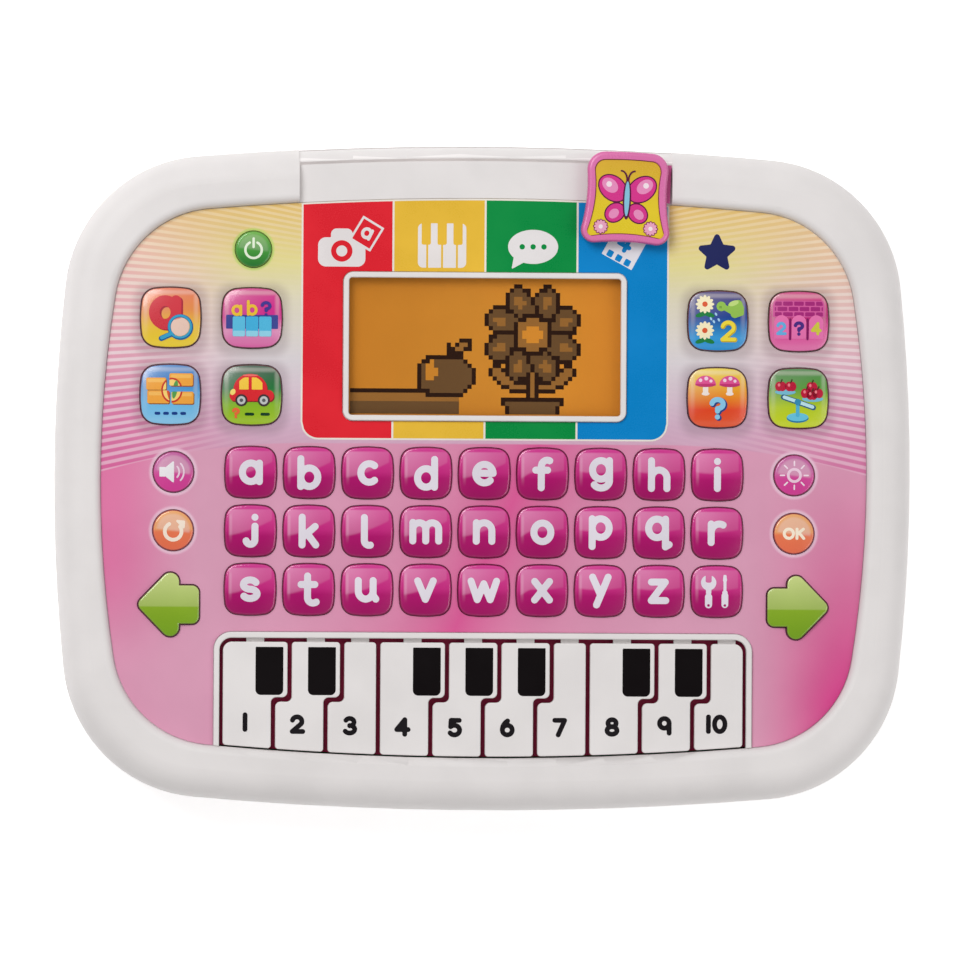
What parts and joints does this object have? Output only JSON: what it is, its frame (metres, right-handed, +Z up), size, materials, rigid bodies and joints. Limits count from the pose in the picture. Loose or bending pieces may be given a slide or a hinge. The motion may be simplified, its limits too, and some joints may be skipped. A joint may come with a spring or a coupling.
{
  "type": "toy learning tablet",
  "caption": "Child's learning tablet with a framed display, push keys for letters and activities, a row of piano keys and a slider that picks the mode",
  "frame": {"origin": "on the surface the tablet lies on, under the middle of its casing", "axes": "+X to the right along the long side, +Y towards the slider edge, +Z up out of the face with the screen"},
  "size_m": [0.241, 0.187, 0.0324],
  "materials": {
    "magenta_plastic": "moulded, printed glossy cap",
    "white_plastic": "satin moulded",
    "green_plastic": "moulded, printed glossy cap",
    "orange_plastic": "moulded, printed glossy cap",
    "activity_plastic": "moulded, printed glossy cap",
    "rear_casing": "satin moulded",
    "front_casing": "satin moulded",
    "faceplate": "printed",
    "screen_window": "clear, flat",
    "electronics": "circuit board with fitted parts",
    "screws": "zinc plated",
    "app_slider": "moulded, printed badge",
    "battery_door": "satin moulded"
  },
  "bodies": {
    "casing": {"rear_casing": "rear_casing", "front_casing": "front_casing", "faceplate": "faceplate", "screen_window": "screen_window", "electronics": "electronics", "screws": "screws"},
    "key_a": {"key_a": "magenta_plastic"},
    "key_b": {"key_b": "magenta_plastic"},
    "key_c": {"key_c": "magenta_plastic"},
    "key_d": {"key_d": "magenta_plastic"},
    "key_e": {"key_e": "magenta_plastic"},
    "key_f": {"key_f": "magenta_plastic"},
    "key_g": {"key_g": "magenta_plastic"},
    "key_h": {"key_h": "magenta_plastic"},
    "key_i": {"key_i": "magenta_plastic"},
    "key_j": {"key_j": "magenta_plastic"},
    "key_k": {"key_k": "magenta_plastic"},
    "key_l": {"key_l": "magenta_plastic"},
    "key_m": {"key_m": "magenta_plastic"},
    "key_n": {"key_n": "magenta_plastic"},
    "key_o": {"key_o": "magenta_plastic"},
    "key_p": {"key_p": "magenta_plastic"},
    "key_q": {"key_q": "magenta_plastic"},
    "key_r": {"key_r": "magenta_plastic"},
    "key_s": {"key_s": "magenta_plastic"},
    "key_settings": {"key_settings": "magenta_plastic"},
    "key_t": {"key_t": "magenta_plastic"},
    "key_u": {"key_u": "magenta_plastic"},
    "key_v": {"key_v": "magenta_plastic"},
    "key_w": {"key_w": "magenta_plastic"},
    "key_x": {"key_x": "magenta_plastic"},
    "key_y": {"key_y": "magenta_plastic"},
    "key_z": {"key_z": "magenta_plastic"},
    "button_find_letter": {"button_find_letter": "activity_plastic"},
    "button_next_letter": {"button_next_letter": "activity_plastic"},
    "button_count_to_ten": {"button_count_to_ten": "activity_plastic"},
    "button_next_number": {"button_next_number": "activity_plastic"},
    "button_picture_puzzle": {"button_picture_puzzle": "activity_plastic"},
    "button_spelling": {"button_spelling": "activity_plastic"},
    "button_memory": {"button_memory": "activity_plastic"},
    "button_compare": {"button_compare": "activity_plastic"},
    "button_volume": {"button_volume": "orange_plastic"},
    "button_repeat": {"button_repeat": "orange_plastic"},
    "button_backlight": {"button_backlight": "orange_plastic"},
    "button_ok": {"button_ok": "orange_plastic"},
    "button_power": {"button_power": "orange_plastic"},
    "button_arrow_left": {"button_arrow_left": "green_plastic"},
    "button_arrow_right": {"button_arrow_right": "green_plastic"},
    "piano_key_01": {"piano_key_01": "white_plastic"},
    "piano_key_02": {"piano_key_02": "white_plastic"},
    "piano_key_03": {"piano_key_03": "white_plastic"},
    "piano_key_04": {"piano_key_04": "white_plastic"},
    "piano_key_05": {"piano_key_05": "white_plastic"},
    "piano_key_06": {"piano_key_06": "white_plastic"},
    "piano_key_07": {"piano_key_07": "white_plastic"},
    "piano_key_08": {"piano_key_08": "white_plastic"},
    "piano_key_09": {"piano_key_09": "white_plastic"},
    "piano_key_10": {"piano_key_10": "white_plastic"},
    "app_slider": {"app_slider": "app_slider"},
    "battery_door": {"battery_door": "battery_door"}
  },
  "joints": [
    {"name": "key_a_press", "type": "slide", "parent": "casing", "child": "key_a", "axis": [0, 0, -1], "range_m": [0, 0.0008], "stiffness_N_per_m": 900},
    {"name": "key_b_press", "type": "slide", "parent": "casing", "child": "key_b", "axis": [0, 0, -1], "range_m": [0, 0.0008], "stiffness_N_per_m": 900},
    {"name": "key_c_press", "type": "slide", "parent": "casing", "child": "key_c", "axis": [0, 0, -1], "range_m": [0, 0.0008], "stiffness_N_per_m": 900},
    {"name": "key_d_press", "type": "slide", "parent": "casing", "child": "key_d", "axis": [0, 0, -1], "range_m": [0, 0.0008], "stiffness_N_per_m": 900},
    {"name": "key_e_press", "type": "slide", "parent": "casing", "child": "key_e", "axis": [0, 0, -1], "range_m": [0, 0.0008], "stiffness_N_per_m": 900},
    {"name": "key_f_press", "type": "slide", "parent": "casing", "child": "key_f", "axis": [0, 0, -1], "range_m": [0, 0.0008], "stiffness_N_per_m": 900},
    {"name": "key_g_press", "type": "slide", "parent": "casing", "child": "key_g", "axis": [0, 0, -1], "range_m": [0, 0.0008], "stiffness_N_per_m": 900},
    {"name": "key_h_press", "type": "slide", "parent": "casing", "child": "key_h", "axis": [0, 0, -1], "range_m": [0, 0.0008], "stiffness_N_per_m": 900},
    {"name": "key_i_press", "type": "slide", "parent": "casing", "child": "key_i", "axis": [0, 0, -1], "range_m": [0, 0.0008], "stiffness_N_per_m": 900},
    {"name": "key_j_press", "type": "slide", "parent": "casing", "child": "key_j", "axis": [0, 0, -1], "range_m": [0, 0.0008], "stiffness_N_per_m": 900},
    {"name": "key_k_press", "type": "slide", "parent": "casing", "child": "key_k", "axis": [0, 0, -1], "range_m": [0, 0.0008], "stiffness_N_per_m": 900},
    {"name": "key_l_press", "type": "slide", "parent": "casing", "child": "key_l", "axis": [0, 0, -1], "range_m": [0, 0.0008], "stiffness_N_per_m": 900},
    {"name": "key_m_press", "type": "slide", "parent": "casing", "child": "key_m", "axis": [0, 0, -1], "range_m": [0, 0.0008], "stiffness_N_per_m": 900},
    {"name": "key_n_press", "type": "slide", "parent": "casing", "child": "key_n", "axis": [0, 0, -1], "range_m": [0, 0.0008], "stiffness_N_per_m": 900},
    {"name": "key_o_press", "type": "slide", "parent": "casing", "child": "key_o", "axis": [0, 0, -1], "range_m": [0, 0.0008], "stiffness_N_per_m": 900},
    {"name": "key_p_press", "type": "slide", "parent": "casing", "child": "key_p", "axis": [0, 0, -1], "range_m": [0, 0.0008], "stiffness_N_per_m": 900},
    {"name": "key_q_press", "type": "slide", "parent": "casing", "child": "key_q", "axis": [0, 0, -1], "range_m": [0, 0.0008], "stiffness_N_per_m": 900},
    {"name": "key_r_press", "type": "slide", "parent": "casing", "child": "key_r", "axis": [0, 0, -1], "range_m": [0, 0.0008], "stiffness_N_per_m": 900},
    {"name": "key_s_press", "type": "slide", "parent": "casing", "child": "key_s", "axis": [0, 0, -1], "range_m": [0, 0.0008], "stiffness_N_per_m": 900},
    {"name": "key_settings_press", "type": "slide", "parent": "casing", "child": "key_settings", "axis": [0, 0, -1], "range_m": [0, 0.0008], "stiffness_N_per_m": 900},
    {"name": "key_t_press", "type": "slide", "parent": "casing", "child": "key_t", "axis": [0, 0, -1], "range_m": [0, 0.0008], "stiffness_N_per_m": 900},
    {"name": "key_u_press", "type": "slide", "parent": "casing", "child": "key_u", "axis": [0, 0, -1], "range_m": [0, 0.0008], "stiffness_N_per_m": 900},
    {"name": "key_v_press", "type": "slide", "parent": "casing", "child": "key_v", "axis": [0, 0, -1], "range_m": [0, 0.0008], "stiffness_N_per_m": 900},
    {"name": "key_w_press", "type": "slide", "parent": "casing", "child": "key_w", "axis": [0, 0, -1], "range_m": [0, 0.0008], "stiffness_N_per_m": 900},
    {"name": "key_x_press", "type": "slide", "parent": "casing", "child": "key_x", "axis": [0, 0, -1], "range_m": [0, 0.0008], "stiffness_N_per_m": 900},
    {"name": "key_y_press", "type": "slide", "parent": "casing", "child": "key_y", "axis": [0, 0, -1], "range_m": [0, 0.0008], "stiffness_N_per_m": 900},
    {"name": "key_z_press", "type": "slide", "parent": "casing", "child": "key_z", "axis": [0, 0, -1], "range_m": [0, 0.0008], "stiffness_N_per_m": 900},
    {"name": "button_find_letter_press", "type": "slide", "parent": "casing", "child": "button_find_letter", "axis": [0, 0, -1], "range_m": [0, 0.0008], "stiffness_N_per_m": 900},
    {"name": "button_next_letter_press", "type": "slide", "parent": "casing", "child": "button_next_letter", "axis": [0, 0, -1], "range_m": [0, 0.0008], "stiffness_N_per_m": 900},
    {"name": "button_count_to_ten_press", "type": "slide", "parent": "casing", "child": "button_count_to_ten", "axis": [0, 0, -1], "range_m": [0, 0.0008], "stiffness_N_per_m": 900},
    {"name": "button_next_number_press", "type": "slide", "parent": "casing", "child": "button_next_number", "axis": [0, 0, -1], "range_m": [0, 0.0008], "stiffness_N_per_m": 900},
    {"name": "button_picture_puzzle_press", "type": "slide", "parent": "casing", "child": "button_picture_puzzle", "axis": [0, 0, -1], "range_m": [0, 0.0008], "stiffness_N_per_m": 900},
    {"name": "button_spelling_press", "type": "slide", "parent": "casing", "child": "button_spelling", "axis": [0, 0, -1], "range_m": [0, 0.0008], "stiffness_N_per_m": 900},
    {"name": "button_memory_press", "type": "slide", "parent": "casing", "child": "button_memory", "axis": [0, 0, -1], "range_m": [0, 0.0008], "stiffness_N_per_m": 900},
    {"name": "button_compare_press", "type": "slide", "parent": "casing", "child": "button_compare", "axis": [0, 0, -1], "range_m": [0, 0.0008], "stiffness_N_per_m": 900},
    {"name": "button_volume_press", "type": "slide", "parent": "casing", "child": "button_volume", "axis": [0, 0, -1], "range_m": [0, 0.0008], "stiffness_N_per_m": 900},
    {"name": "button_repeat_press", "type": "slide", "parent": "casing", "child": "button_repeat", "axis": [0, 0, -1], "range_m": [0, 0.0008], "stiffness_N_per_m": 900},
    {"name": "button_backlight_press", "type": "slide", "parent": "casing", "child": "button_backlight", "axis": [0, 0, -1], "range_m": [0, 0.0008], "stiffness_N_per_m": 900},
    {"name": "button_ok_press", "type": "slide", "parent": "casing", "child": "button_ok", "axis": [0, 0, -1], "range_m": [0, 0.0008], "stiffness_N_per_m": 900},
    {"name": "button_power_press", "type": "slide", "parent": "casing", "child": "button_power", "axis": [0, 0, -1], "range_m": [0, 0.0008], "stiffness_N_per_m": 900},
    {"name": "button_arrow_left_press", "type": "slide", "parent": "casing", "child": "button_arrow_left", "axis": [0, 0, -1], "range_m": [0, 0.0008], "stiffness_N_per_m": 900},
    {"name": "button_arrow_right_press", "type": "slide", "parent": "casing", "child": "button_arrow_right", "axis": [0, 0, -1], "range_m": [0, 0.0008], "stiffness_N_per_m": 900},
    {"name": "piano_key_01_press", "type": "hinge", "parent": "casing", "child": "piano_key_01", "pos_m": [0, -0.04265, 0.0258], "axis": [1, 0, 0], "range_deg": [0, 2.5], "stiffness_Nm_per_rad": 0.9},
    {"name": "piano_key_02_press", "type": "hinge", "parent": "casing", "child": "piano_key_02", "pos_m": [0, -0.04265, 0.0258], "axis": [1, 0, 0], "range_deg": [0, 2.5], "stiffness_Nm_per_rad": 0.9},
    {"name": "piano_key_03_press", "type": "hinge", "parent": "casing", "child": "piano_key_03", "pos_m": [0, -0.04265, 0.0258], "axis": [1, 0, 0], "range_deg": [0, 2.5], "stiffness_Nm_per_rad": 0.9},
    {"name": "piano_key_04_press", "type": "hinge", "parent": "casing", "child": "piano_key_04", "pos_m": [0, -0.04265, 0.0258], "axis": [1, 0, 0], "range_deg": [0, 2.5], "stiffness_Nm_per_rad": 0.9},
    {"name": "piano_key_05_press", "type": "hinge", "parent": "casing", "child": "piano_key_05", "pos_m": [0, -0.04265, 0.0258], "axis": [1, 0, 0], "range_deg": [0, 2.5], "stiffness_Nm_per_rad": 0.9},
    {"name": "piano_key_06_press", "type": "hinge", "parent": "casing", "child": "piano_key_06", "pos_m": [0, -0.04265, 0.0258], "axis": [1, 0, 0], "range_deg": [0, 2.5], "stiffness_Nm_per_rad": 0.9},
    {"name": "piano_key_07_press", "type": "hinge", "parent": "casing", "child": "piano_key_07", "pos_m": [0, -0.04265, 0.0258], "axis": [1, 0, 0], "range_deg": [0, 2.5], "stiffness_Nm_per_rad": 0.9},
    {"name": "piano_key_08_press", "type": "hinge", "parent": "casing", "child": "piano_key_08", "pos_m": [0, -0.04265, 0.0258], "axis": [1, 0, 0], "range_deg": [0, 2.5], "stiffness_Nm_per_rad": 0.9},
    {"name": "piano_key_09_press", "type": "hinge", "parent": "casing", "child": "piano_key_09", "pos_m": [0, -0.04265, 0.0258], "axis": [1, 0, 0], "range_deg": [0, 2.5], "stiffness_Nm_per_rad": 0.9},
    {"name": "piano_key_10_press", "type": "hinge", "parent": "casing", "child": "piano_key_10", "pos_m": [0, -0.04265, 0.0258], "axis": [1, 0, 0], "range_deg": [0, 2.5], "stiffness_Nm_per_rad": 0.9},
    {"name": "app_slider_move", "type": "hinge", "parent": "casing", "child": "app_slider", "pos_m": [0, -0.8565, 0.0291], "axis": [0, 0, 1], "range_deg": [0, 4.83]},
    {"name": "battery_door_open", "type": "hinge", "parent": "casing", "child": "battery_door", "pos_m": [0, 0.0442, 0.0019], "axis": [1, 0, 0], "range_deg": [0, 95]}
  ]
}
